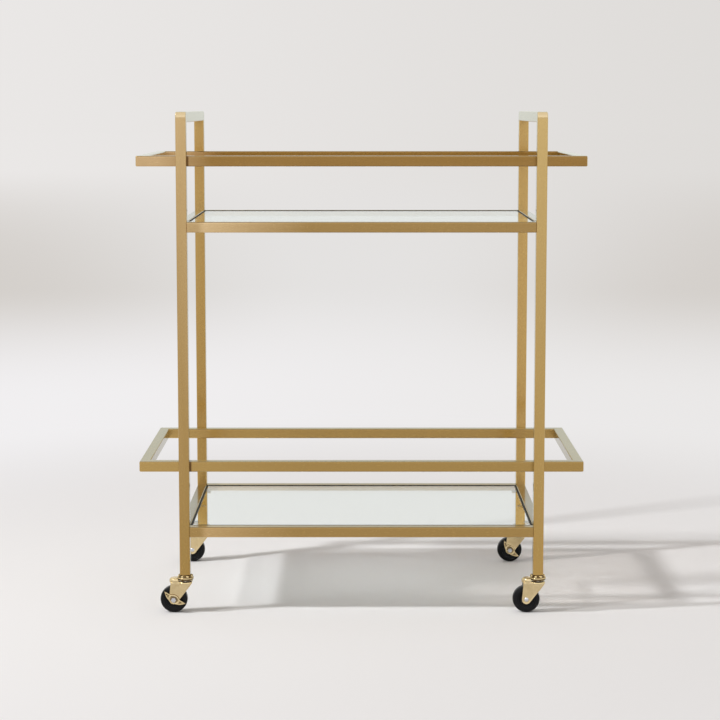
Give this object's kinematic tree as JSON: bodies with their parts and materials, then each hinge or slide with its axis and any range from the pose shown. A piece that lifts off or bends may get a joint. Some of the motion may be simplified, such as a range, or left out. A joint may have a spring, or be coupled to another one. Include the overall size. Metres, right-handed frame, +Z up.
{
  "type": "bar cart",
  "caption": "Two-tier rolling serving cart: square metal tube side frames, glass shelves inside raised gallery rings, and swivel casters, some with side brakes.",
  "frame": {"origin": "on the floor, midway between the swivel axes of the four casters", "axes": "+X along the cart's length to the right as seen from its front, -Y out of its front, +Z up"},
  "size_m": [0.814, 0.418, 0.915],
  "materials": {
    "brushed_brass": "brushed along each tube, satin, clear lacquered",
    "bright_brass": "pressed sheet, bright pale brass plating",
    "zinc_steel": "bright zinc plated",
    "glass": "clear float glass, polished edges",
    "clear_rubber": "clear, soft",
    "black_plastic": "moulded, glossy",
    "black_rubber": "moulded, polished"
  },
  "bodies": {
    "frame": {"front_left_leg": "brushed_brass", "front_right_leg": "brushed_brass", "back_left_leg": "brushed_brass", "back_right_leg": "brushed_brass", "left_handle": "brushed_brass", "right_handle": "brushed_brass", "upper_ring_front": "brushed_brass", "upper_ring_back": "brushed_brass", "upper_ring_left": "brushed_brass", "upper_ring_right": "brushed_brass", "lower_ring_front": "brushed_brass", "lower_ring_back": "brushed_brass", "lower_ring_left": "brushed_brass", "lower_ring_right": "brushed_brass", "upper_shelf_front": "brushed_brass", "upper_shelf_back": "brushed_brass", "upper_shelf_left": "brushed_brass", "upper_shelf_right": "brushed_brass", "lower_shelf_front": "brushed_brass", "lower_shelf_back": "brushed_brass", "lower_shelf_left": "brushed_brass", "lower_shelf_right": "brushed_brass", "glass_tabs": "brushed_brass", "glass_bumpers": "clear_rubber", "upper_glass": "glass", "lower_glass": "glass", "leg_sockets": "zinc_steel", "caster_stems": "zinc_steel", "caster_caps": "bright_brass", "caster_balls": "zinc_steel"},
    "front_left_swivel": {"front_left_fork": "bright_brass", "front_left_axle": "zinc_steel", "front_left_bush": "zinc_steel", "front_left_brake_nut": "zinc_steel"},
    "front_left_wheel": {"front_left_core": "black_plastic", "front_left_tyre": "black_rubber"},
    "front_left_brake_lever": {"front_left_brake": "bright_brass"},
    "front_right_swivel": {"front_right_fork": "bright_brass", "front_right_axle": "zinc_steel", "front_right_bush": "zinc_steel"},
    "front_right_wheel": {"front_right_core": "black_plastic", "front_right_tyre": "black_rubber"},
    "back_left_swivel": {"back_left_fork": "bright_brass", "back_left_axle": "zinc_steel", "back_left_bush": "zinc_steel"},
    "back_left_wheel": {"back_left_core": "black_plastic", "back_left_tyre": "black_rubber"},
    "back_right_swivel": {"back_right_fork": "bright_brass", "back_right_axle": "zinc_steel", "back_right_bush": "zinc_steel", "back_right_brake_nut": "zinc_steel"},
    "back_right_wheel": {"back_right_core": "black_plastic", "back_right_tyre": "black_rubber"},
    "back_right_brake_lever": {"back_right_brake": "bright_brass"}
  },
  "joints": [
    {"name": "front_left_swivel_turn", "type": "hinge", "parent": "frame", "child": "front_left_swivel", "pos_m": [-0.3235, -0.1935, 0.058], "axis": [0, 0, 1], "continuous": true},
    {"name": "front_left_wheel_roll", "type": "hinge", "parent": "front_left_swivel", "child": "front_left_wheel", "pos_m": [-0.3445, -0.1935, 0.025], "axis": [0, 1, 0], "continuous": true},
    {"name": "front_left_brake_press", "type": "hinge", "parent": "front_left_swivel", "child": "front_left_brake_lever", "pos_m": [-0.3445, -0.1935, 0.025], "axis": [0, 1, 0], "range_deg": [0, 24]},
    {"name": "front_right_swivel_turn", "type": "hinge", "parent": "frame", "child": "front_right_swivel", "pos_m": [0.3235, -0.1935, 0.058], "axis": [0, 0, 1], "continuous": true},
    {"name": "front_right_wheel_roll", "type": "hinge", "parent": "front_right_swivel", "child": "front_right_wheel", "pos_m": [0.3025, -0.1935, 0.025], "axis": [0, 1, 0], "continuous": true},
    {"name": "back_left_swivel_turn", "type": "hinge", "parent": "frame", "child": "back_left_swivel", "pos_m": [-0.3235, 0.1935, 0.058], "axis": [0, 0, 1], "continuous": true},
    {"name": "back_left_wheel_roll", "type": "hinge", "parent": "back_left_swivel", "child": "back_left_wheel", "pos_m": [-0.3445, 0.1935, 0.025], "axis": [0, 1, 0], "continuous": true},
    {"name": "back_right_swivel_turn", "type": "hinge", "parent": "frame", "child": "back_right_swivel", "pos_m": [0.3235, 0.1935, 0.058], "axis": [0, 0, 1], "continuous": true},
    {"name": "back_right_wheel_roll", "type": "hinge", "parent": "back_right_swivel", "child": "back_right_wheel", "pos_m": [0.3025, 0.1935, 0.025], "axis": [0, 1, 0], "continuous": true},
    {"name": "back_right_brake_press", "type": "hinge", "parent": "back_right_swivel", "child": "back_right_brake_lever", "pos_m": [0.3025, 0.1935, 0.025], "axis": [0, 1, 0], "range_deg": [-16, 8]}
  ]
}
